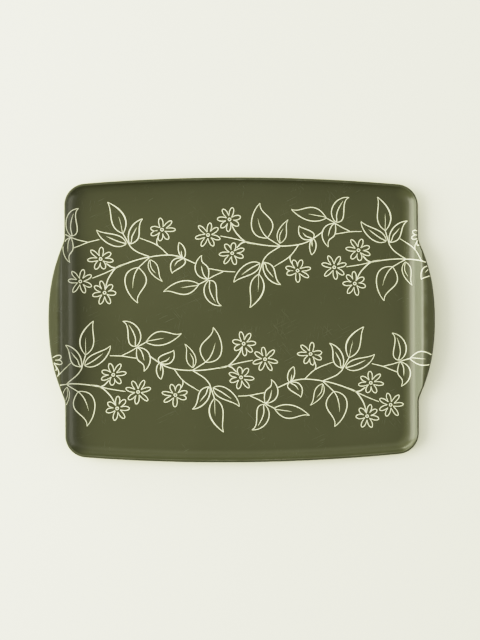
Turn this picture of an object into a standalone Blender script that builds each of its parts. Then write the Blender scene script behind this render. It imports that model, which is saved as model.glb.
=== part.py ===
"""Serving tray moulded in melamine, with a printed decor foil fused over its upper face.

Frame: origin under the middle of the tray on the surface that it stands on, +X along the tray towards a
handle, +Y across it, +Z up. All sizes are in metres. The tray is symmetric about X = 0 and about Y = 0, so
only a quarter of its outline is worked out, from the middle of a handle round to the middle of a long side.

Each station of the outline joins a point on the foot line, where the flat floor ends, to a point on the
outer edge. Between them runs a section: a hollow fillet, a straight wall, a rounded crest and a lip, which
widens into a handle at each end of the tray.
"""

import math

import bmesh
import bpy
from mathutils import Vector

MM = 0.001

# Plan of the outer edge
LENGTH = 450 * MM  # over both handles
WIDTH = 332.2 * MM  # across the middle of the long sides
BODY_LENGTH = 413.4 * MM  # between the straight ends beside the handles
BOW_RADIUS = 2190 * MM  # of the long sides, seen from above
CORNER_RADIUS = 25.3 * MM
HANDLE_HALF_SPAN = 97 * MM  # along Y, from the middle of a handle to where it meets the straight end
HANDLE_SHOULDER = 62 * MM  # pull of the handle's curve at its outermost point
HANDLE_ROOT = 84 * MM  # where the pull of its curve at the straight end sits

# Plan of the foot line, where the floor starts to turn up
END_RUN = 18.7 * MM  # from the foot line to the outer edge, beside a handle
SIDE_RUN = 14.8 * MM  # the same on a long side
FOOT_CORNER_X = 11 * MM
FOOT_CORNER_Y = 12.3 * MM

# Section
THICKNESS = 2.6 * MM
FOOT_HEIGHT = 1.8 * MM  # of the foot ring under the floor
RIM_DEPTH = 8.0 * MM  # from the floor up to where the lip starts to roll over
CREST_RADIUS = 1.5 * MM  # where the lip is narrow
HANDLE_CREST_RADIUS = 8 * MM  # of the softer roll into a handle
CREST_GROWTH = 0.6  # of the crest's radius, for each unit that the lip is wider than END_LIP
END_SLOPE = math.radians(49)  # of the walls, from the horizontal
SIDE_SLOPE = math.radians(62)
END_LIP = 2.6 * MM  # from the top of the straight wall to the outer edge
SIDE_LIP = 3.3 * MM
HANDLE_CREST_X = 209 * MM  # top of the straight wall, in the middle of a handle
DROOP = math.radians(4)  # of the lip and the handles, towards their outer edge
UNDER_ROUND = 0.8 * MM  # cut off the hollow corner under the lip

# Decor foil
FOIL_THICKNESS = 0.3 * MM
FOIL_GAP = 0.3 * MM
FOIL_DROP = FOIL_THICKNESS + FOIL_GAP  # from the foil's upper face to the moulding under it
FOIL_MARGIN = 0.4 * MM  # from the foil's edge to where the moulding's edge starts to round

# Foot ring, as distances inwards from the foot line
RING_OUTER = 1.6 * MM
RING_INNER = 4.0 * MM
RING_DRAFT = 0.8 * MM
RING_CHAMFER = 0.4 * MM

# Number of steps along each stretch
HANDLE_STEPS = 9
END_STEPS = 2
CORNER_STEPS = 7
SIDE_STEPS = 7
FILLET_STEPS = 6
CREST_STEPS = 3
EDGE_STEPS = 4
UNDER_STEPS = 2

FLOOR_TOP = FOOT_HEIGHT + THICKNESS
OLIVE = (0.094, 0.100, 0.041, 1.0)


class Station:
    """One section of the tray, from the foot line outwards. Slope, crest and run fix its fillet."""

    def __init__(self, foot, edge, slope, lip, crest=None):
        self.foot = Vector(foot)
        self.along = Vector(edge) - self.foot
        self.run = self.along.length
        self.along.normalize()
        self.slope = slope
        rim = self.run - lip if crest is None else END_RUN - END_LIP
        self.fillet = (rim - RIM_DEPTH / math.tan(slope)) / math.tan(slope / 2)
        self.crest = rim if crest is None else crest
        self.crest_z = FLOOR_TOP + RIM_DEPTH + (self.crest - rim) * math.tan(slope)
        growth = 0 if crest is None else CREST_GROWTH * (self.run - crest - END_LIP)
        self.crest_radius = min(CREST_RADIUS + growth, HANDLE_CREST_RADIUS)

    def at(self, distance, height):
        """The point at this distance from the foot line."""
        plan = self.foot + self.along * distance
        return Vector((plan.x, plan.y, height))

    def fillet_point(self, angle, lift):
        """On the hollow fillet where it has turned up by angle, moved along its normal by lift."""
        radius = self.fillet - lift
        height = FLOOR_TOP + self.fillet - radius * math.cos(angle)
        return radius * math.sin(angle), height

    def wall_top(self, lift):
        """Where the straight wall ends."""
        return (
            self.crest - lift * math.sin(self.slope),
            self.crest_z + lift * math.cos(self.slope),
        )

    def crest_point(self, angle, lift):
        """On the rounded crest, where its slope is angle: positive where it still climbs."""
        centre_x = self.crest + self.crest_radius * math.sin(self.slope)
        centre_z = self.crest_z - self.crest_radius * math.cos(self.slope)
        radius = self.crest_radius + lift
        return centre_x - radius * math.sin(angle), centre_z + radius * math.cos(angle)

    def lip_point(self, distance, lift):
        """On the plane of the lip, at this distance from the foot line."""
        start_x, start_z = self.crest_point(-DROOP, lift)
        return distance, start_z - (distance - start_x) * math.tan(DROOP)

    def upper_face(self, lift, end):
        """The tray's upper face, moved along its normal by lift, out to end on the lip."""
        turns = [self.slope * k / FILLET_STEPS for k in range(FILLET_STEPS + 1)]
        points = [self.fillet_point(turn, lift) for turn in turns]
        falls = [
            self.slope - (self.slope + DROOP) * k / CREST_STEPS
            for k in range(CREST_STEPS + 1)
        ]
        points += [self.crest_point(fall, lift) for fall in falls]
        points.append(self.lip_point(end, lift))
        return points

    def round_edge(self, upper_lift, lower_lift):
        """The half-round outer edge between two faces, past its first point, which is on the upper one."""
        radius = (upper_lift - lower_lift) / 2
        middle = (upper_lift + lower_lift) / 2
        centre_x, centre_z = self.lip_point(self.run - radius, middle)
        turns = [DROOP + math.pi * k / EDGE_STEPS for k in range(1, EDGE_STEPS + 1)]
        return [
            (centre_x + radius * math.sin(turn), centre_z + radius * math.cos(turn))
            for turn in turns
        ]

    def under_corner(self):
        """Where the wall's outer face would meet the underside of the lip."""
        wall_x, wall_z = self.wall_top(-THICKNESS)
        lip_x, lip_z = self.lip_point(wall_x, -THICKNESS)
        reach = (lip_z - wall_z) / (math.tan(self.slope) + math.tan(DROOP))
        return wall_x + reach, wall_z + reach * math.tan(self.slope)

    def under_bend(self):
        """The hollow bend under the crest, on a curve from the underside of the lip to the wall's outer face."""
        corner_x, corner_z = self.under_corner()
        tangent = (self.crest_radius - THICKNESS) * math.tan((self.slope + DROOP) / 2)
        reach = max(UNDER_ROUND, tangent)
        start = self.lip_point(min(corner_x + reach, self.run - THICKNESS / 2), -THICKNESS)
        middle = (corner_x, corner_z - max(UNDER_ROUND / 2, reach * math.sin(self.slope) / 4))
        end = (
            corner_x - reach * math.cos(self.slope),
            corner_z - reach * math.sin(self.slope) - UNDER_ROUND / 2,
        )
        points = []
        for k in range(UNDER_STEPS + 1):
            t = k / UNDER_STEPS
            weights = ((1 - t) * (1 - 2 * t), 4 * t * (1 - t), t * (2 * t - 1))
            points.append(tuple(sum(w * v for w, v in zip(weights, axis)) for axis in zip(start, middle, end)))
        return points

    def lower_face(self):
        """From the underside of the lip down the wall's outer face to the foot ring and the floor's underside."""
        points = self.under_bend()
        turns = [self.slope * k / FILLET_STEPS for k in range(FILLET_STEPS, 0, -1)]
        points += [self.fillet_point(turn, -THICKNESS) for turn in turns]
        points += [
            (-RING_OUTER + RING_CHAMFER, RING_CHAMFER),
            (-RING_OUTER, 0.0),
            (-RING_INNER, 0.0),
            (-RING_INNER - RING_CHAMFER, RING_CHAMFER),
            (-RING_INNER - RING_DRAFT, FOOT_HEIGHT),
        ]
        return points


def blend(start, end, share):
    return start + (end - start) * share


def bow_y(x):
    """Half the tray's width at x."""
    return WIDTH / 2 - x * x / (2 * BOW_RADIUS)


def handle_outline(step):
    """A point of a handle's outer edge, on a cubic curve from its middle to its root."""
    t = step / HANDLE_STEPS
    weights = ((1 - t) ** 3, 3 * t * (1 - t) ** 2, 3 * t * t * (1 - t), t**3)
    across = (LENGTH / 2, LENGTH / 2, BODY_LENGTH / 2, BODY_LENGTH / 2)
    along = (0, HANDLE_SHOULDER, HANDLE_ROOT, HANDLE_HALF_SPAN)
    return (
        sum(w * v for w, v in zip(weights, across)),
        sum(w * v for w, v in zip(weights, along)),
    )


def quarter_stations():
    """The stations from the middle of a handle round to the middle of a long side."""
    end_x = BODY_LENGTH / 2
    foot_x = end_x - END_RUN
    centre_x = end_x - CORNER_RADIUS
    tilt = math.asin(centre_x / BOW_RADIUS)  # of the bowed side where the corner meets it
    turn = math.pi / 2 - tilt
    side_x = centre_x + CORNER_RADIUS * math.cos(turn)
    centre_y = bow_y(side_x) - CORNER_RADIUS * math.sin(turn)
    foot_centre_x = foot_x - FOOT_CORNER_X
    foot_side_x = foot_centre_x + FOOT_CORNER_X * math.cos(turn)
    foot_centre_y = bow_y(side_x) - SIDE_RUN - FOOT_CORNER_Y * math.sin(turn)

    def end_station(x, y):
        foot_y = y * foot_centre_y / centre_y
        crest = min(HANDLE_CREST_X - foot_x, x - foot_x - END_LIP)
        return Station((foot_x, foot_y), (x, y), END_SLOPE, END_LIP, crest)

    stations = [end_station(*handle_outline(k)) for k in range(HANDLE_STEPS + 1)]
    for k in range(1, END_STEPS):
        stations.append(end_station(end_x, blend(HANDLE_HALF_SPAN, centre_y, k / END_STEPS)))
    for k in range(CORNER_STEPS + 1):
        share = k / CORNER_STEPS
        angle = turn * share
        foot = (
            foot_centre_x + FOOT_CORNER_X * math.cos(angle),
            foot_centre_y + FOOT_CORNER_Y * math.sin(angle),
        )
        edge = (
            centre_x + CORNER_RADIUS * math.cos(angle),
            centre_y + CORNER_RADIUS * math.sin(angle),
        )
        slope = blend(END_SLOPE, SIDE_SLOPE, share)
        stations.append(Station(foot, edge, slope, blend(END_LIP, SIDE_LIP, share)))
    for k in range(1, SIDE_STEPS + 1):
        share = 1 - k / SIDE_STEPS
        x = side_x * share
        foot = (foot_side_x * share, bow_y(x) - SIDE_RUN)
        stations.append(Station(foot, (x, bow_y(x)), SIDE_SLOPE, SIDE_LIP))
    return stations


def loops_of(section):
    """Closed loops round the whole tray, one for each point of the section, from the quarter's stations."""
    quarter = [[s.at(*point) for point in section(s)] for s in quarter_stations()]
    back = quarter[-2::-1]
    around = quarter
    around = around + [[Vector((-p.x, p.y, p.z)) for p in points] for points in back]
    around = around + [[Vector((-p.x, -p.y, p.z)) for p in points] for points in quarter[1:]]
    around = around + [[Vector((p.x, -p.y, p.z)) for p in points] for points in back[:-1]]
    return [list(loop) for loop in zip(*around)]


def melamine(name, colour, roughness):
    material = bpy.data.materials.new(name)
    material.use_nodes = True
    shader = material.node_tree.nodes["Principled BSDF"]
    shader.inputs["Base Color"].default_value = colour
    shader.inputs["Roughness"].default_value = roughness
    shader.inputs["Metallic"].default_value = 0.0
    return material


def shell(name, loops, material, parent):
    """A closed solid whose skin runs from the first loop to the last, each of them filled flat."""
    bm = bmesh.new()
    rings = [[bm.verts.new(point) for point in loop] for loop in loops]
    for inner, outer in zip(rings, rings[1:]):
        for k in range(len(inner)):
            bm.faces.new((inner[k - 1], outer[k - 1], outer[k], inner[k]))
    bm.faces.new(rings[0])
    bm.faces.new(reversed(rings[-1]))
    mesh = bpy.data.meshes.new(name)
    bm.to_mesh(mesh)
    bm.free()
    mesh.shade_smooth()
    mesh.set_sharp_from_angle(angle=math.radians(40))
    mesh.materials.append(material)
    obj = bpy.data.objects.new(name, mesh)
    bpy.context.scene.collection.objects.link(obj)
    obj.parent = parent
    return obj


def body_section(station):
    """The moulding's skin, from the floor's upper face over the edge to the floor's underside."""
    edge_radius = (THICKNESS - FOIL_DROP) / 2
    upper = station.upper_face(-FOIL_DROP, station.run - edge_radius)
    edge = station.round_edge(-FOIL_DROP, -THICKNESS)
    return upper + edge + station.lower_face()


def foil_section(station):
    """The foil's skin, from its upper face over its cut edge to its lower face."""
    end = station.run - (THICKNESS - FOIL_DROP) / 2 - FOIL_MARGIN
    upper = station.upper_face(0.0, end)
    lower = station.upper_face(-FOIL_THICKNESS, end)
    return upper + lower[::-1]


def build():
    for obj in list(bpy.data.objects):
        bpy.data.objects.remove(obj, do_unlink=True)
    tray = bpy.data.objects.new("tray", None)
    bpy.context.scene.collection.objects.link(tray)
    shell("tray_body", loops_of(body_section), melamine("body_olive", OLIVE, 0.35), tray)
    shell("decor_foil", loops_of(foil_section), melamine("foil_olive", OLIVE, 0.3), tray)


build()
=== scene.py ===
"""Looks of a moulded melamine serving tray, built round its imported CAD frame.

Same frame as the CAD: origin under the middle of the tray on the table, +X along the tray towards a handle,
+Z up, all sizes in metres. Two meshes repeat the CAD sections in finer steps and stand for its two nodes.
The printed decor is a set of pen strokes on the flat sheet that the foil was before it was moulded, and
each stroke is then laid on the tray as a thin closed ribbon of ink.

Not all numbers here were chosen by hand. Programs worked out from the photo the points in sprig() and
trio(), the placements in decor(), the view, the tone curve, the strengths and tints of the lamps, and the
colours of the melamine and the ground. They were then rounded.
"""

import math  # noqa: E402

import bpy  # noqa: E402
import numpy as np  # noqa: E402
from mathutils import Matrix, Vector  # noqa: E402
from mathutils.bvhtree import BVHTree  # noqa: E402


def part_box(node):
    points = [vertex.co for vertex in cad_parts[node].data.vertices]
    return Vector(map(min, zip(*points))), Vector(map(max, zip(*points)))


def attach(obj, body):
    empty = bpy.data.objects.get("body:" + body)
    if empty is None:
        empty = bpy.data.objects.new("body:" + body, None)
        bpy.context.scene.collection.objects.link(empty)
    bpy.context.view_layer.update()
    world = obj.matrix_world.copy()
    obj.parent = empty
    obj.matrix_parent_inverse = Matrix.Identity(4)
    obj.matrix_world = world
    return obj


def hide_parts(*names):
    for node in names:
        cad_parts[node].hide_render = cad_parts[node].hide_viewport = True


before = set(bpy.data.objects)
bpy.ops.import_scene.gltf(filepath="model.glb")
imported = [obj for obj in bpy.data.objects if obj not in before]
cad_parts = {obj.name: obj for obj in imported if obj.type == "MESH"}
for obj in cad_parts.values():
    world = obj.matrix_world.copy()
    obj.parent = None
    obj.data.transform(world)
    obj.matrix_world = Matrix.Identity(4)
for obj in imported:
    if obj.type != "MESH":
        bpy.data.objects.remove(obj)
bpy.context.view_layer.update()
body_low, body_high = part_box("tray_body")

MM = 0.001

# The tray's plan
LENGTH = body_high.x - body_low.x
WIDTH = body_high.y - body_low.y
BODY_LENGTH = 413.4 * MM
BOW_RADIUS = 2190 * MM
CORNER_RADIUS = 25.3 * MM
HANDLE_HALF_SPAN = 97 * MM
HANDLE_SHOULDER = 62 * MM
HANDLE_ROOT = 84 * MM
END_RUN = 18.7 * MM
SIDE_RUN = 14.8 * MM
FOOT_CORNER_X = 11 * MM
FOOT_CORNER_Y = 12.3 * MM

# Its section
THICKNESS = 2.6 * MM
FOOT_HEIGHT = 1.8 * MM
RIM_DEPTH = 8.0 * MM
CREST_RADIUS = 1.5 * MM
HANDLE_CREST_RADIUS = 8 * MM
CREST_GROWTH = 0.6
END_SLOPE = math.radians(49)
SIDE_SLOPE = math.radians(62)
END_LIP = 2.6 * MM
SIDE_LIP = 3.3 * MM
HANDLE_CREST_X = 209 * MM
DROOP = math.radians(4)
UNDER_ROUND = 0.8 * MM
FOIL_THICKNESS = 0.3 * MM
FOIL_DROP = 0.6 * MM
FOIL_MARGIN = 0.4 * MM
RING_OUTER = 1.6 * MM
RING_INNER = 4.0 * MM
RING_DRAFT = 0.8 * MM
RING_CHAMFER = 0.4 * MM
FLOOR_TOP = FOOT_HEIGHT + THICKNESS

# Steps of the finer meshes
HANDLE_STEPS = 30
END_STEPS = 8
CORNER_STEPS = 22
SIDE_STEPS = 30
FILLET_STEPS = 18
WALL_STEPS = 4
CREST_STEPS = 10
UNDER_STEPS = 6
LIP_STEPS = 5
EDGE_STEPS = 10

# The ink, measured along the foil's normal. Its top is the CAD foil's upper face.
INK = 0.05 * MM
INK_ROOT = 0.03 * MM  # how far it reaches into the foil
INK_INSET = 0.2 * MM  # bare foil at the cut edge
STROKE_STEP = 0.8 * MM
WALL_STROKE_STEP = 0.4 * MM
WALL_LANES = 4  # across a stroke on the walls

# Points along each stretch of a curve, and along a side of a leaf
CURVE_POINTS = 24
SIDE_POINTS = 48

# A flower, in mm
RING = 1.6  # radius of the ring in its middle
PETAL_LENGTH = 14  # of a petal that is neither slim nor broad
PETAL_HALF = 2.7  # half the width of such a petal
PETAL_SLIMMING = 0.22  # taken off half its width for each mm that a petal is longer
PETAL_TIP = 0.6  # from the middle of the line at a petal's tip to the petal's full length
NOTCH_NEAREST = 3.3  # of the notch between two petals, from the flower's middle
NOTCH_FARTHEST = 5.2
NOTCH_WIDTH = 1.9  # a narrower gap between petals puts the notch farther out

# How wide a petal is along its length, past its notch, as shares of its length and of half its width
PETAL = ((0.28, 0.9), (0.55, 1), (0.8, 0.8), (0.95, 0.42))

# The picture's tone curve
TONE_WHITE = 0.952
TONE_MIDDLE = 0.239  # the light that is shown as half of white
TONE_CONTRAST = 1.68
TONE_REACH = 2.0  # the most light that the curve covers
TONE_STEPS = 24

STUDIO_RADIUS = 2.5
FLOOR_REACH = 6.0  # from the tray to the floor's edge

SHARP = math.radians(40)  # faces that meet at more than this are shaded apart

GLOSS = 0.28  # specular level of the melamine and its glaze
WORN_AND_HIGHLIGHT = (0.11, 0.113, 0.085, 1)  # colour of rubbed melamine, also used for a painted highlight on the rims' crests

# Sockets of a node that mixes colours: its factor and its two colours, and its result
MIX_INPUTS = (0, 6, 7)
MIX_OUTPUT = 2

# View: almost straight down, leaning a little out over the left handle
EYE_DISTANCE = 1.6
EYE_TILT = math.radians(-3.9)
EYE_TURN = math.radians(-0.26)
AIM = (-3.1 * MM, -0.2 * MM)  # where on the floor the eye looks
FRAME_HEIGHT = 749.3 * MM  # what the picture's long side takes in at the tray's floor
SENSOR = 36


# ---------------------------------------------------------------- shape of the tray


class Station:
    """One section of the tray, from the foot line, where the flat floor ends, to the outer edge."""

    def __init__(self, foot, edge, slope, lip, crest=None):
        self.foot = Vector(foot)
        self.along = Vector(edge) - self.foot
        self.run = self.along.length
        self.along.normalize()
        self.slope = slope
        rim = self.run - lip if crest is None else END_RUN - END_LIP
        self.fillet = (rim - RIM_DEPTH / math.tan(slope)) / math.tan(slope / 2)
        self.crest = rim if crest is None else crest
        self.crest_z = FLOOR_TOP + RIM_DEPTH + (self.crest - rim) * math.tan(slope)
        growth = 0 if crest is None else CREST_GROWTH * (self.run - crest - END_LIP)
        self.crest_radius = min(CREST_RADIUS + growth, HANDLE_CREST_RADIUS)

    def at(self, distance, height):
        plan = self.foot + self.along * distance
        return (plan.x, plan.y, height)

    def fillet_point(self, angle, lift):
        radius = self.fillet - lift
        return radius * math.sin(angle), FLOOR_TOP + self.fillet - radius * math.cos(angle)

    def crest_point(self, angle, lift):
        radius = self.crest_radius + lift
        centre_x = self.crest + self.crest_radius * math.sin(self.slope)
        centre_z = self.crest_z - self.crest_radius * math.cos(self.slope)
        return centre_x - radius * math.sin(angle), centre_z + radius * math.cos(angle)

    def lip_point(self, distance, lift):
        start_x, start_z = self.crest_point(-DROOP, lift)
        return distance, start_z - (distance - start_x) * math.tan(DROOP)

    def upper_face(self, lift, end):
        """From the foot line to end on the lip, moved along the normal by lift."""
        points = [self.fillet_point(self.slope * t, lift) for t in shares(FILLET_STEPS)]
        top = self.crest_point(self.slope, lift)
        points += [between(points[-1], top, t) for t in shares(WALL_STEPS)[1:-1]]
        falls = [self.slope - (self.slope + DROOP) * t for t in shares(CREST_STEPS)]
        points += [self.crest_point(fall, lift) for fall in falls]
        start = points[-1][0]
        points += [self.lip_point(start + (end - start) * t, lift) for t in shares(LIP_STEPS)[1:]]
        return points

    def round_edge(self, upper_lift, lower_lift):
        radius = (upper_lift - lower_lift) / 2
        middle = (upper_lift + lower_lift) / 2
        centre_x, centre_z = self.lip_point(self.run - radius, middle)
        turns = [DROOP + math.pi * t for t in shares(EDGE_STEPS)[1:]]
        return [(centre_x + radius * math.sin(a), centre_z + radius * math.cos(a)) for a in turns]

    def under_corner(self):
        wall_x, wall_z = self.crest_point(self.slope, -THICKNESS)
        _, lip_z = self.lip_point(wall_x, -THICKNESS)
        reach = (lip_z - wall_z) / (math.tan(self.slope) + math.tan(DROOP))
        return wall_x + reach, wall_z + reach * math.tan(self.slope)

    def under_bend(self):
        corner_x, corner_z = self.under_corner()
        tangent = (self.crest_radius - THICKNESS) * math.tan((self.slope + DROOP) / 2)
        reach = max(UNDER_ROUND, tangent)
        start = self.lip_point(min(corner_x + reach, self.run - THICKNESS / 2), -THICKNESS)
        middle = (corner_x, corner_z - max(UNDER_ROUND / 2, reach * math.sin(self.slope) / 4))
        end = (
            corner_x - reach * math.cos(self.slope),
            corner_z - reach * math.sin(self.slope) - UNDER_ROUND / 2,
        )
        points = []
        for t in shares(UNDER_STEPS):
            weights = ((1 - t) * (1 - 2 * t), 4 * t * (1 - t), t * (2 * t - 1))
            axes = zip(start, middle, end)
            points.append(tuple(sum(w * v for w, v in zip(weights, axis)) for axis in axes))
        return points

    def lower_face(self):
        points = self.under_bend()
        turns = [self.slope * t for t in shares(FILLET_STEPS)[:0:-1]]
        points += [self.fillet_point(turn, -THICKNESS) for turn in turns]
        points += [
            (-RING_OUTER + RING_CHAMFER, RING_CHAMFER),
            (-RING_OUTER, 0.0),
            (-RING_INNER, 0.0),
            (-RING_INNER - RING_CHAMFER, RING_CHAMFER),
            (-RING_INNER - RING_DRAFT, FOOT_HEIGHT),
        ]
        return points


def shares(steps):
    return [k / steps for k in range(steps + 1)]


def between(start, end, share):
    return tuple(a + (b - a) * share for a, b in zip(start, end))


def bow_y(x):
    """Half the tray's width at x."""
    return WIDTH / 2 - x * x / (2 * BOW_RADIUS)


def handle_outline(t):
    """A point of a handle's outer edge, on a cubic curve from its middle to its root."""
    weights = ((1 - t) ** 3, 3 * t * (1 - t) ** 2, 3 * t * t * (1 - t), t**3)
    across = (LENGTH / 2, LENGTH / 2, BODY_LENGTH / 2, BODY_LENGTH / 2)
    along = (0, HANDLE_SHOULDER, HANDLE_ROOT, HANDLE_HALF_SPAN)
    return (
        sum(w * v for w, v in zip(weights, across)),
        sum(w * v for w, v in zip(weights, along)),
    )


def quarter_stations():
    """The stations from the middle of a handle round to the middle of a long side."""
    end_x = BODY_LENGTH / 2
    foot_x = end_x - END_RUN
    centre_x = end_x - CORNER_RADIUS
    turn = math.pi / 2 - math.asin(centre_x / BOW_RADIUS)
    side_x = centre_x + CORNER_RADIUS * math.cos(turn)
    centre_y = bow_y(side_x) - CORNER_RADIUS * math.sin(turn)
    foot_centre_x = foot_x - FOOT_CORNER_X
    foot_side_x = foot_centre_x + FOOT_CORNER_X * math.cos(turn)
    foot_centre_y = bow_y(side_x) - SIDE_RUN - FOOT_CORNER_Y * math.sin(turn)

    def end_station(x, y):
        crest = min(HANDLE_CREST_X - foot_x, x - foot_x - END_LIP)
        foot_y = y * foot_centre_y / centre_y
        return Station((foot_x, foot_y), (x, y), END_SLOPE, END_LIP, crest)

    stations = [end_station(*handle_outline(t)) for t in shares(HANDLE_STEPS)]
    for t in shares(END_STEPS)[1:-1]:
        stations.append(end_station(end_x, HANDLE_HALF_SPAN + (centre_y - HANDLE_HALF_SPAN) * t))
    for t in shares(CORNER_STEPS):
        across, up = math.cos(turn * t), math.sin(turn * t)
        foot = (foot_centre_x + FOOT_CORNER_X * across, foot_centre_y + FOOT_CORNER_Y * up)
        edge = (centre_x + CORNER_RADIUS * across, centre_y + CORNER_RADIUS * up)
        slope = END_SLOPE + (SIDE_SLOPE - END_SLOPE) * t
        stations.append(Station(foot, edge, slope, END_LIP + (SIDE_LIP - END_LIP) * t))
    for t in shares(SIDE_STEPS)[1:]:
        x = side_x * (1 - t)
        foot = (foot_side_x * (1 - t), bow_y(x) - SIDE_RUN)
        stations.append(Station(foot, (x, bow_y(x)), SIDE_SLOPE, SIDE_LIP))
    return stations


STATIONS = quarter_stations()


def loops_of(section):
    """Closed loops round the whole tray, one for each point of the section: an array of loop, station and
    XYZ."""
    quarter = np.array([[s.at(*point) for point in section(s)] for s in STATIONS])
    back = quarter[-2::-1] * (-1, 1, 1)
    around = (quarter, back, quarter[1:] * (-1, -1, 1), back[:-1] * (-1, -1, 1))
    return np.concatenate(around).transpose(1, 0, 2)


def rounding_of(section):
    """How sharply the section turns outwards at each of its points, from 0 to 1, for wear and a painted
    highlight along the edges.
    """
    points = np.array(section(STATIONS[-1]))
    steps = np.diff(points, axis=0)
    turn = steps[:-1, 0] * steps[1:, 1] - steps[:-1, 1] * steps[1:, 0]
    lengths = np.linalg.norm(steps, axis=1)
    bend = -turn / (lengths[:-1] * lengths[1:] * (lengths[:-1] + lengths[1:]) / 2)
    return np.concatenate(([0], np.clip(bend * CREST_RADIUS, 0, 1), [0]))


def body_section(station):
    edge_radius = (THICKNESS - FOIL_DROP) / 2
    upper = station.upper_face(-FOIL_DROP, station.run - edge_radius)
    return upper + station.round_edge(-FOIL_DROP, -THICKNESS) + station.lower_face()


def foil_end(station):
    return station.run - (THICKNESS - FOIL_DROP) / 2 - FOIL_MARGIN


def foil_section(station):
    upper = station.upper_face(-INK, foil_end(station))
    lower = station.upper_face(-FOIL_THICKNESS, foil_end(station))
    return upper + lower[::-1]


def printed_section(station):
    """The part of the foil's face that the print may cover."""
    return station.upper_face(-INK, foil_end(station) - INK_INSET)


def skin_faces(loops):
    """Quads between neighbouring loops. They face outwards for a section that runs over the top and back
    below."""
    count = len(loops[0])
    here = np.arange(count)
    before = np.roll(here, 1)
    quads = []
    for row in range(len(loops) - 1):
        low, high = row * count, (row + 1) * count
        quads += np.stack([low + before, high + before, high + here, low + here], 1).tolist()
    return quads


def new_piece(name, points, faces, material):
    mesh = bpy.data.meshes.new(name)
    mesh.from_pydata(points, [], faces)
    mesh.shade_smooth()
    mesh.materials.append(material)
    obj = bpy.data.objects.new(name, mesh)
    bpy.context.scene.collection.objects.link(obj)
    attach(obj, "root")
    return obj


def shell(name, section, material, stands_for):
    """A closed skin of loops, flat at both ends, with an attribute that says where edges wear and where their
    crests get a painted highlight.
    """
    loops = loops_of(section)
    count = len(loops[0])
    last = (len(loops) - 1) * count
    faces = skin_faces(loops)
    faces.append(list(range(count)))
    faces.append(list(range(last + count - 1, last - 1, -1)))
    obj = new_piece(name, loops.reshape(-1, 3).tolist(), faces, material)
    wear_and_highlight = obj.data.attributes.new("wear_and_highlight", "FLOAT", "POINT")
    wear_and_highlight.data.foreach_set("value", np.repeat(rounding_of(section), count).astype(np.float32))
    obj.data.set_sharp_from_angle(angle=SHARP)
    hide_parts(stands_for)
    return obj


# ---------------------------------------------------------------- the printed decor


def curve(*points):
    """A smooth line through the points."""
    p = np.array(points, float)
    p = np.vstack([2 * p[0] - p[1], p, 2 * p[-1] - p[-2]])
    t = np.linspace(0, 1, CURVE_POINTS)[:, None]
    pieces = [
        0.5 * (2 * b + (c - a) * t + (2 * a - 5 * b + 4 * c - d) * t**2 + (3 * b - a - 3 * c + d) * t**3)
        for a, b, c, d in zip(p, p[1:], p[2:], p[3:])
    ]
    return np.vstack([piece[:-1] for piece in pieces[:-1]] + [pieces[-1]])


def bezier(start, first, second, end):
    t = np.linspace(0, 1, SIDE_POINTS)[:, None]
    start, first, second, end = (np.array(v, float) for v in (start, first, second, end))
    return start * (1 - t) ** 3 + 3 * first * t * (1 - t) ** 2 + 3 * second * t**2 * (1 - t) + end * t**3


class Stroke:
    """One pen stroke of the decor: its line in mm, and its width along it, where each end may thin out."""

    def __init__(self, kind, line, width, start=1.0, end=1.0, swell=0.0, closed=False):
        self.kind, self.line, self.closed = kind, np.array(line, float), closed
        self.width, self.start, self.end, self.swell = width, start, end, swell

    def moved(self, at, turn=0.0, size=1.0, flip=False):
        """A copy of the stroke, first flipped about its X axis, then turned, sized and moved."""
        cos, sin = math.cos(math.radians(turn)) * size, math.sin(math.radians(turn)) * size
        x, y = self.line[:, 0], self.line[:, 1] * (-1 if flip else 1)
        copy = Stroke(self.kind, np.stack([x * cos - y * sin, x * sin + y * cos], 1) + at, self.width)
        copy.start, copy.end, copy.swell, copy.closed = self.start, self.end, self.swell, self.closed
        return copy

    def mirrored(self, drop):
        """The stroke as the lower row has it: left and right swapped, and moved by drop."""
        copy = self.moved((0, 0))
        copy.line = copy.line * (-1, 1) + drop
        return copy

    def sampled(self, step):
        """Evenly spaced points in metres, their sideways directions and their half widths."""
        line = self.line * MM
        lengths = np.concatenate(([0], np.cumsum(np.linalg.norm(np.diff(line, axis=0), axis=1))))
        count = max(4, math.ceil(lengths[-1] / step))
        spots = np.linspace(0, lengths[-1], count + 1)
        points = np.stack([np.interp(spots, lengths, line[:, k]) for k in (0, 1)], 1)
        if self.closed:
            points = points[:-1]
            ahead = np.roll(points, -1, 0) - np.roll(points, 1, 0)
        else:
            ahead = np.gradient(points, axis=0)
        ahead /= np.linalg.norm(ahead, axis=1)[:, None]
        t = np.linspace(0, 1, len(points))
        thin = np.interp(t, (0, 0.25, 0.7, 1), (self.start, 1, 1, self.end))
        half = self.width * MM / 2 * thin * (1 + self.swell * np.sin(math.pi * t) ** 2)
        return points, np.stack([-ahead[:, 1], ahead[:, 0]], 1), half


def leaf(base, tip, left, right, rib=(), rib_width=1, width=1, heavy=0.0):
    """A leaf's two sides and its midrib. left, right and rib are given along and across the line from base
    to tip, as shares of its length: two pulls for a side, points passed through for a rib."""
    base, tip = np.array(base, float), np.array(tip, float)
    ahead = tip - base
    aside = np.array((-ahead[1], ahead[0]))

    def spot(pair):
        return base + pair[0] * ahead + pair[1] * aside

    strokes = [
        Stroke("leaves", bezier(base, *map(spot, pulls), tip), width, start=0.75, end=0.7, swell=swell)
        for pulls, swell in ((left, 0.1), (right, 0.1 + heavy))
    ]
    if rib:
        strokes.append(Stroke("leaves", curve(base, *map(spot, rib)), rib_width, end=0.12))
    return strokes


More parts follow.
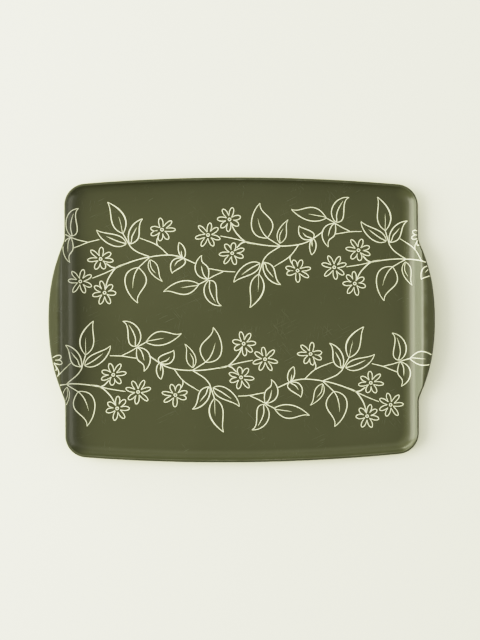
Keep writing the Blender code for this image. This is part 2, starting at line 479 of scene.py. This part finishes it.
def daisy(centre, turns, lengths):
    """A flower round a small ring, with a stroke for each petal. turns are the petals' directions in degrees,
    anticlockwise. The longer a petal, the slimmer."""
    centre = np.array(centre, float)
    ring = [(RING * math.cos(a), RING * math.sin(a)) for a in np.linspace(0, 2 * math.pi, 25)]
    strokes = [Stroke("flowers", centre + np.array(ring), 1, closed=True)]
    for k, (turn, length) in enumerate(zip(turns, lengths)):
        ahead = np.array((math.cos(math.radians(turn)), math.sin(math.radians(turn))))
        aside = np.array((-ahead[1], ahead[0]))
        left = petal_side(length, turns[(k + 1) % len(turns)] - turn)
        right = petal_side(length, turn - turns[k - 1])
        outline = [*left, (length - PETAL_TIP, 0), *((x, -y) for x, y in right[::-1])]
        line = curve(*(centre + x * ahead + y * aside for x, y in outline))
        strokes.append(Stroke("flowers", line, width=0.93, start=0.75, end=0.75))
    return strokes


def petal_side(length, gap):
    """One side of a petal, along and across it, from the notch that it shares with the next petal."""
    half_gap = math.radians(gap % 360) / 2
    notch = min(max(NOTCH_WIDTH / math.tan(half_gap), NOTCH_NEAREST), NOTCH_FARTHEST)
    root = notch * math.cos(half_gap)
    half = PETAL_HALF - PETAL_SLIMMING * (length - PETAL_LENGTH)
    side = [(root, notch * math.sin(half_gap))]
    side += [(root + (length - PETAL_TIP - root) * along, half * across) for along, across in PETAL]
    return side


def stem(*points, width=1.35, start=1.0, end=1.0):
    return [Stroke("stems", curve(*points), width, start, end)]


def sprig():
    """The branch that repeats along a row, from its fork at the origin, in mm."""
    fork, node = (0, 0), (-40.3, -12.8)
    towards_node = ((-24, -6.2), (-8.5, -1.5))
    past_fork = ((6.5, 1.2), (20, 2.3), (30.5, 1.4), (39, -1.3), (53, -7.6))
    down = ((-8.3, -7.3), (-14.3, -13.3), (-18, -19.8), (-20.1, -28.2), (-20.7, -37))
    aside = ((21, 2.7), (14.3, 9.3), (9.6, 13.1), (3, 16.7), (-4.8, 19.7), (-12.4, 22.5))
    return (
        stem(node, *towards_node, fork, *past_fork, width=1.1)
        + stem(node, (-45.6, -11.7), (-51.8, -7.5), width=1.3, end=0.8)
        + stem(node, (-53.4, -19), (-68, -24.8), width=0.9, end=0.8)
        + stem((-30, -8.2), node, (-48.1, -23.2), (-51.6, -31.7), (-52.4, -37), width=1.3, end=0.7)
        + stem(fork, (-15, 6), (-22.2, 11.4), (-25.4, 16.2), (-31.9, 27.7), width=1.05)
        + stem(*aside, width=0.95, end=0.6)
        + stem((9.6, 13.1), (8, 16), (8.2, 20), (9.6, 24), width=1, end=0.7)
        + stem(fork, *down, width=0.95, end=0.15)
        + daisy((14.2, 32.3), (0, 42, 99, 172, 206, 258, 303), (16.5, 16, 14.5, 14, 15, 14, 14))
        + daisy((-58.3, -2.3), (31, 85, 138, 185, 242, 291, 351), (14.5, 14.5, 16, 16, 14, 13, 15.5))
        + daisy((-82.3, -28.7), (29, 75, 131, 177, 235, 291, 336), (15.5, 15, 16, 16, 16, 15, 15))
        + daisy((-53.9, -42.1), (45, 107, 147, 193, 247, 296, 357), (13.5, 15, 14.5, 15, 15, 15, 14))
        + leaf(
            (-31.8, 27.8),
            (-49.9, 64.9),
            left=((0.35, 0.35), (0.65, -0.02)),
            right=((0.27, -0.4), (0.68, -0.26)),
            rib=((0.04, 0), (0.26, -0.06), (0.5, -0.11)),
            rib_width=0.5,
            heavy=0.5,
        )
        + leaf(
            (-28, 15.7),
            (-62.8, 32),
            left=((0.15, 0.35), (0.8, 0.26)),
            right=((0.26, -0.3), (0.7, 0.05)),
            rib=((0.25, 0.04), (0.47, 0.05), (0.67, 0.05)),
            width=0.95,
        )
        + leaf(
            (-23.9, 15.2),
            (-8.5, 45.1),
            left=((0.25, 0.31), (0.74, 0.29)),
            right=((0.4, -0.43), (0.6, 0.12)),
            rib=((0.1, -0.01), (0.27, 0.05), (0.45, 0.05), (0.64, 0.05)),
            width=1.1,
        )
        + leaf(
            (-13.9, -12.3),
            (-14.7, -54.4),
            left=((0.48, 0.57), (0.64, -0.12)),
            right=((0.09, -0.62), (0.78, -0.35)),
        )
        + leaf(
            (-0.2, -3.2),
            (14.7, -29),
            left=((0.4, 0.35), (0.66, -0.11)),
            right=((0.2, -0.4), (0.73, -0.2)),
            rib=((0.26, -0.11), (0.43, -0.11), (0.6, -0.07)),
            rib_width=0.7,
            width=0.8,
        )
        + leaf(
            (39, -1.8),
            (34.2, 17.2),
            left=((0.3, 0.24), (0.7, 0.17)),
            right=((0.15, -0.35), (0.8, -0.29)),
            rib=((0.2, 0.03), (0.5, -0.01)),
        )
        + leaf(
            (39, -1.6),
            (26.1, -19.5),
            left=((0, 0.59), (0.87, -0.1)),
            right=((0.23, -0.53), (0.75, -0.49)),
            rib=((0.12, -0.05), (0.35, -0.15), (0.6, -0.14)),
        )
    )


def trio():
    """Three leaves round a joint at the origin, with the tendrils that reach the next branch, in mm."""
    joint = (0, 0)
    return (
        stem(joint, (-3.3, -2.1), (-11, -6), width=1)
        + stem((1, 12.8), (10, 11.2), (18.9, 9.5), (32.7, 8.7), width=0.9, end=0.8)
        + stem(joint, (8.1, 4.5), (14.7, 7.4), (18.9, 9.5), width=0.9)
        + leaf(
            joint,
            (-7.5, 28.8),
            left=((0.16, 0.58), (0.8, 0.5)),
            right=((0.75, -0.35), (0.5, 0.24)),
            rib=((0.1, 0.09), (0.29, 0.14), (0.6, 0.13)),
        )
        + leaf(
            (0.5, -1.5),
            (15.9, -32),
            left=((0.2, 0.47), (0.68, -0.25)),
            right=((0.14, -0.5), (0.83, -0.45)),
            rib=((0.06, 0.01), (0.26, -0.1), (0.5, -0.14), (0.8, -0.13)),
        )
        + leaf(
            (-11, -6),
            (-54, -15.1),
            left=((0.48, 0.47), (0.7, -0.06)),
            right=((0.3, -0.28), (0.7, -0.2)),
            rib=((0.08, 0.02), (0.21, 0.01), (0.51, -0.01)),
            rib_width=0.7,
            width=0.95,
        )
    )


def decor():
    """All the strokes of both rows. Every other branch hangs the other way up, and the lower row is the upper
    one swapped left for right."""
    branches = (
        dict(at=(-107.8, 73.7), size=0.985),
        dict(at=(45.2, 86.4), turn=10.6, size=0.99, flip=True),
        dict(at=(193.6, 70.6), turn=-13, size=0.985),
    )
    joints = (
        dict(at=(-199.7, 96.4), turn=11, size=0.98, flip=True),
        dict(at=(-40.2, 47.7), size=0.97),
        dict(at=(109.7, 113), turn=-2, size=0.97, flip=True),
    )
    row = [stroke.moved(**place) for place in branches for stroke in sprig()]
    row += [stroke.moved(**place) for place in joints for stroke in trio()]
    return row + [stroke.moved((0.6, 0.2), turn=0.35).mirrored(drop=(-14, -145.6)) for stroke in row]


class Moulding:
    """Lays points of the flat decor sheet on the moulded foil."""

    def __init__(self):
        loops = loops_of(printed_section)
        count = len(loops[0])
        faces = skin_faces(loops) + [list(range(count))]
        self.tree = BVHTree.FromPolygons(loops.reshape(-1, 3).tolist(), faces)
        section = np.array(printed_section(STATIONS[0]))
        steps = np.linalg.norm(np.diff(section, axis=0), axis=1)
        self.foot = STATIONS[0].foot.x
        self.flat = self.foot + np.concatenate(([0], np.cumsum(steps)))
        self.plan = self.foot + section[:, 0]

    def touch(self, spot):
        """Where a point of the flat sheet lies on the foil and which way is out, or None off its edge."""
        across = abs(spot[0])
        if across > self.flat[-1]:
            return None
        if across > self.foot:
            across = np.interp(across, self.flat, self.plan)
        x = math.copysign(across, spot[0])
        place, normal, _, _ = self.tree.ray_cast(Vector((x, spot[1], 1)), Vector((0, 0, -1)))
        return None if place is None else (np.array(place), np.array(normal))

    def on(self, spot):
        return self.touch(spot) is not None

    def last_on(self, inside, outside):
        """The point nearest the foil's edge on the way from a point inside it to one outside."""
        for _ in range(10):
            middle = (inside + outside) / 2
            if self.on(middle):
                inside = middle
            else:
                outside = middle
        return inside


def runs_on(moulding, rows):
    """Splits rows of points across a stroke where it leaves the foil, and trims them at its edge."""
    on = [moulding.on(row[0]) and moulding.on(row[-1]) for row in rows]
    runs, run = [], []
    for k, row in enumerate(rows):
        if on[k] and not run and k:
            run.append([moulding.last_on(p, q) for p, q in zip(row, rows[k - 1])])
        if on[k]:
            run.append(row)
        elif run:
            run.append([moulding.last_on(p, q) for p, q in zip(rows[k - 1], row)])
            runs.append(run)
            run = []
    if run:
        runs.append(run)
    return runs, all(on)


class Ribbons:
    """Collects strokes as thin closed ribbons in one mesh."""

    def __init__(self, moulding, top):
        self.moulding, self.top = moulding, top
        self.points, self.faces = [], []

    def add(self, stroke):
        on_wall = np.abs(stroke.line[:, 0]).max() * MM > self.moulding.foot - 2 * STROKE_STEP
        points, aside, half = stroke.sampled(WALL_STROKE_STEP if on_wall else STROKE_STEP)
        lanes = WALL_LANES if on_wall else 1
        offsets = np.linspace(-1, 1, lanes + 1)
        rows = [[p + a * h * o for o in offsets] for p, a, h in zip(points, aside, half)]
        runs, whole = runs_on(self.moulding, rows)
        for run in runs:
            if len(run) > 1:
                self.add_run(run, stroke.closed and whole)

    def add_run(self, run, closed):
        first = len(self.points)
        wide = len(run[0])
        ring = wide + 2
        for row in run:
            touches = [self.moulding.touch(spot) for spot in row]
            self.points += [tuple(place + normal * self.top) for place, normal in touches]
            for place, normal in (touches[-1], touches[0]):
                self.points.append(tuple(place - normal * INK_ROOT))
        pairs = [(k, k + 1) for k in range(len(run) - 1)]
        if closed:
            pairs.append((len(run) - 1, 0))
        for here, there in pairs:
            a, b = first + here * ring, first + there * ring
            for k in range(ring):
                after = (k + 1) % ring
                self.faces.append((a + after, a + k, b + k, b + after))
        if not closed:
            last = first + (len(run) - 1) * ring
            self.faces.append(tuple(range(first, first + ring)))
            self.faces.append(tuple(range(last + ring - 1, last - 1, -1)))


def print_decor(moulding, material):
    """One piece for each kind of stroke. Each kind has its own height, so crossing lines share no plane."""
    strokes = decor()
    for kind, share in (("stems", 0.88), ("leaves", 0.94), ("flowers", 1.0)):
        ribbons = Ribbons(moulding, INK * share)
        for stroke in strokes:
            if stroke.kind == kind:
                ribbons.add(stroke)
        obj = new_piece("print_" + kind, ribbons.points, ribbons.faces, material)
        obj.data.set_sharp_from_angle(angle=SHARP)


# ---------------------------------------------------------------- materials


class Nodes:
    """Short names for the nodes of one material."""

    def __init__(self, name):
        self.material = bpy.data.materials.new(name)
        self.material.use_nodes = True
        self.tree = self.material.node_tree
        self.shader = self.tree.nodes["Principled BSDF"]
        self.place = self.tree.nodes.new("ShaderNodeTexCoord").outputs["Object"]
        self.shader.inputs["Specular IOR Level"].default_value = GLOSS

    def add(self, kind, inputs, **settings):
        node = self.tree.nodes.new("ShaderNode" + kind)
        for key, value in settings.items():
            setattr(node, key, value)
        for key, value in inputs.items():
            self.feed(node.inputs[key], value)
        return node

    def feed(self, socket, value):
        if isinstance(value, bpy.types.NodeSocket):
            self.tree.links.new(value, socket)
        else:
            socket.default_value = value

    def noise(self, scale, detail=3.0, roughness=0.5, stretch=None, turn=0.0, distortion=0.0):
        """Noise of about 1 / scale metres, drawn out stretch times along a line turned from X in the plan."""
        place = self.place
        if stretch:
            inputs = {"Vector": place, "Scale": (stretch, 1, 1), "Rotation": (0, 0, math.radians(turn))}
            place = self.add("Mapping", inputs, vector_type="TEXTURE").outputs["Vector"]
        inputs = {
            "Vector": place,
            "Scale": scale,
            "Detail": detail,
            "Roughness": roughness,
            "Distortion": distortion,
        }
        return self.add("TexNoise", inputs).outputs["Fac"]

    def spread(self, value, low, high, to_low=0.0, to_high=1.0):
        inputs = {
            "Value": value,
            "From Min": low,
            "From Max": high,
            "To Min": to_low,
            "To Max": to_high,
        }
        return self.add("MapRange", inputs).outputs["Result"]

    def mix(self, share, first, second):
        node = self.add("Mix", {}, data_type="RGBA")
        for socket, value in zip(MIX_INPUTS, (share, first, second)):
            self.feed(node.inputs[socket], value)
        return node.outputs[MIX_OUTPUT]

    def maths(self, operation, first, second):
        node = self.add("Math", {}, operation=operation)
        self.feed(node.inputs[0], first)
        self.feed(node.inputs[1], second)
        return node.outputs[0]

    def wear_and_highlight(self):
        return self.add("Attribute", {}, attribute_name="wear_and_highlight").outputs["Fac"]

    def scratches(self, turn, count):
        """Short hairlines that run one way, in scattered patches: 1 on a line, 0 between."""
        grain = self.spread(self.noise(count, detail=0.0, stretch=25, turn=turn, distortion=0.3), 0.7, 0.78)
        patches = self.spread(self.noise(25 + abs(turn) / 10, detail=1.0), 0.52, 0.62)
        return self.maths("MULTIPLY", grain, patches)

    def bump(self, height, distance, normal=None):
        inputs = {"Height": height, "Distance": distance, "Strength": 1.0}
        if normal:
            inputs["Normal"] = normal
        return self.add("Bump", inputs).outputs["Normal"]


def melamine(name, dark, light, worn_and_highlight, roughness, grain_depth):
    """Moulded melamine: clouded colour, a fine skin texture, hairline scratches, and paler, duller rounded
    edges, whose paler colour is partly wear and partly a painted highlight on the crests."""
    n = Nodes(name)
    clouds = n.spread(n.noise(9, detail=2.0), 0.3, 0.7)
    specks = n.spread(n.noise(1400, detail=1.0), 0.35, 0.75)
    colour = n.mix(clouds, dark, light)
    colour = n.mix(n.maths("MULTIPLY", specks, 0.16), colour, light)
    # Paler colour along the rounded crests and edges: partly wear, partly a painted highlight where the rims
    # catch the light.
    rubbed_and_highlight = n.maths("MULTIPLY", n.wear_and_highlight(), n.spread(n.noise(60), 0.35, 0.7, 0.05, 0.45))
    colour = n.mix(rubbed_and_highlight, colour, worn_and_highlight)
    lines = n.maths("MAXIMUM", n.scratches(25, 1500), n.scratches(-50, 1200))
    lines = n.maths("MAXIMUM", lines, n.scratches(80, 1800))
    n.feed(n.shader.inputs["Base Color"], n.mix(n.maths("MULTIPLY", lines, 0.15), colour, worn_and_highlight))
    smooth = n.spread(n.noise(35, detail=4.0), 0.3, 0.7, roughness - 0.018, roughness + 0.018)
    smooth = n.maths("ADD", smooth, n.maths("MULTIPLY", lines, 0.03))
    smooth = n.maths("ADD", smooth, n.maths("MULTIPLY", rubbed_and_highlight, 0.05))
    n.feed(n.shader.inputs["Roughness"], smooth)
    skin = n.bump(n.noise(420, detail=2.0), grain_depth)
    n.feed(n.shader.inputs["Normal"], n.bump(lines, -0.0005 * MM, skin))
    return n.material


def body_melamine():
    return melamine(
        "body_melamine",
        dark=(0.0555, 0.058, 0.0336, 1),
        light=(0.0635, 0.066, 0.039, 1),
        worn_and_highlight=WORN_AND_HIGHLIGHT,
        roughness=0.32,
        grain_depth=0.02 * MM,
    )


def foil_melamine():
    return melamine(
        "foil_melamine",
        dark=(0.059, 0.061, 0.0354, 1),
        light=(0.0648, 0.0665, 0.0396, 1),
        worn_and_highlight=WORN_AND_HIGHLIGHT,
        roughness=0.25,
        grain_depth=0.008 * MM,
    )


def print_ink():
    """Cream ink under the glaze: uneven cover, where the olive shows through a little, and a satin skin."""
    n = Nodes("print_ink")
    cover = n.spread(n.noise(500, detail=3.0), 0.3, 0.75)
    colour = n.mix(cover, (0.58, 0.59, 0.415, 1), (0.7, 0.715, 0.505, 1))
    n.feed(n.shader.inputs["Base Color"], colour)
    n.feed(n.shader.inputs["Roughness"], n.spread(n.noise(60), 0.3, 0.7, 0.28, 0.34))
    n.feed(n.shader.inputs["Normal"], n.bump(n.noise(420, detail=2.0), 0.008 * MM))
    return n.material


def paper():
    n = Nodes("paper")
    fibres = n.noise(300, detail=4.0)
    n.feed(n.shader.inputs["Base Color"], n.mix(fibres, (0.85, 0.85, 0.645, 1), (0.87, 0.87, 0.665, 1)))
    n.feed(n.shader.inputs["Roughness"], n.spread(fibres, 0, 1, 0.85, 0.95))
    n.feed(n.shader.inputs["Normal"], n.bump(fibres, 0.02 * MM))
    return n.material


# ---------------------------------------------------------------- floor, light and camera


def pale_floor():
    mesh = bpy.data.meshes.new("floor")
    corners = [(x * FLOOR_REACH, y * FLOOR_REACH, 0) for x, y in ((-1, -1), (1, -1), (1, 1), (-1, 1))]
    mesh.from_pydata(corners, [], [(0, 1, 2, 3)])
    mesh.materials.append(paper())
    floor = bpy.data.objects.new("floor", mesh)
    bpy.context.scene.collection.objects.link(floor)


def softbox(name, azimuth, elevation, width, height, brightness, colour):
    """A soft panel that faces the tray. Its place and extent are angles in degrees, as the tray sees them,
    with azimuth anticlockwise from +X. Brightness is its radiance."""
    angle, rise = math.radians(azimuth), math.radians(elevation)
    place = Vector((math.cos(rise) * math.cos(angle), math.cos(rise) * math.sin(angle), math.sin(rise)))
    data = bpy.data.lights.new(name, "AREA")
    data.shape = "RECTANGLE"
    data.size = 2 * STUDIO_RADIUS * math.tan(math.radians(width / 2))
    data.size_y = 2 * STUDIO_RADIUS * math.tan(math.radians(height / 2))
    data.energy = brightness * math.pi * data.size * data.size_y
    data.color = colour
    lamp = bpy.data.objects.new(name, data)
    lamp.location = place * STUDIO_RADIUS
    lamp.rotation_euler = (-place).to_track_quat("-Z", "Y").to_euler()
    bpy.context.scene.collection.objects.link(lamp)


def studio():
    """A tall soft window at the left, brightest low down, dim fill from the right and the far side."""
    world = bpy.data.worlds.new("studio")
    world.use_nodes = True
    world.node_tree.nodes["Background"].inputs["Color"].default_value = (1, 1, 1, 1)
    world.node_tree.nodes["Background"].inputs["Strength"].default_value = 0.22
    bpy.context.scene.world = world
    softbox("window_sill", 180, 6, 50, 12, 4.2, (0.94, 1.0, 0.88))
    softbox("window", 180, 20, 50, 16, 7.2, (0.98, 1.0, 0.8))
    softbox("window_middle", 180, 38, 50, 20, 4.7, (1.0, 0.97, 0.89))
    softbox("window_top", 180, 60, 50, 24, 0.55, (0.9, 0.9, 1.0))
    softbox("window_side", 127, 10, 50, 20, 5.0, (0.98, 1.0, 0.8))
    softbox("fill_low", 0, 18, 60, 36, 1.6, (1.0, 0.99, 0.92))
    softbox("fill_high", 0, 48, 60, 24, 0.4, (0.93, 0.95, 1.0))
    softbox("far_low", 90, 8, 60, 16, 0.33, (1.0, 1.0, 1.0))
    softbox("far_top", 90, 58, 60, 28, 0.34, (1.0, 1.0, 1.0))


def tone():
    """Sets a tone curve with deep darks, steep middles, and whites that roll off."""
    settings = bpy.context.scene.view_settings
    settings.view_transform = "Standard"
    settings.use_curve_mapping = True
    mapping = settings.curve_mapping
    mapping.white_level = (TONE_REACH,) * 3
    curve = mapping.curves[3]  # the one for red, green and blue together
    curve.points[0].location = (0, 0)
    curve.points[1].location = (1, shown(TONE_REACH))
    for k in range(1, TONE_STEPS):
        light = TONE_REACH * (k / TONE_STEPS) ** 2
        curve.points.new(light / TONE_REACH, shown(light))
    mapping.update()


def shown(light):
    """How bright the picture shows an amount of light."""
    return TONE_WHITE / (1 + (TONE_MIDDLE / light) ** TONE_CONTRAST)


def camera():
    data = bpy.data.cameras.new("view")
    data.sensor_width = SENSOR
    data.lens = SENSOR * EYE_DISTANCE / FRAME_HEIGHT
    data.clip_start, data.clip_end = 0.05, 20
    eye = bpy.data.objects.new("view", data)
    turn = Matrix.Rotation(EYE_TURN, 4, "Z") @ Matrix.Rotation(EYE_TILT, 4, "Y")
    back = Matrix.Translation((0, 0, EYE_DISTANCE))
    eye.matrix_world = Matrix.Translation((*AIM, FLOOR_TOP)) @ turn @ back
    bpy.context.scene.collection.objects.link(eye)
    bpy.context.scene.camera = eye


shell("body_skin", body_section, body_melamine(), "tray_body")
shell("foil_skin", foil_section, foil_melamine(), "decor_foil")
print_decor(Moulding(), print_ink())
pale_floor()
studio()
tone()
camera()
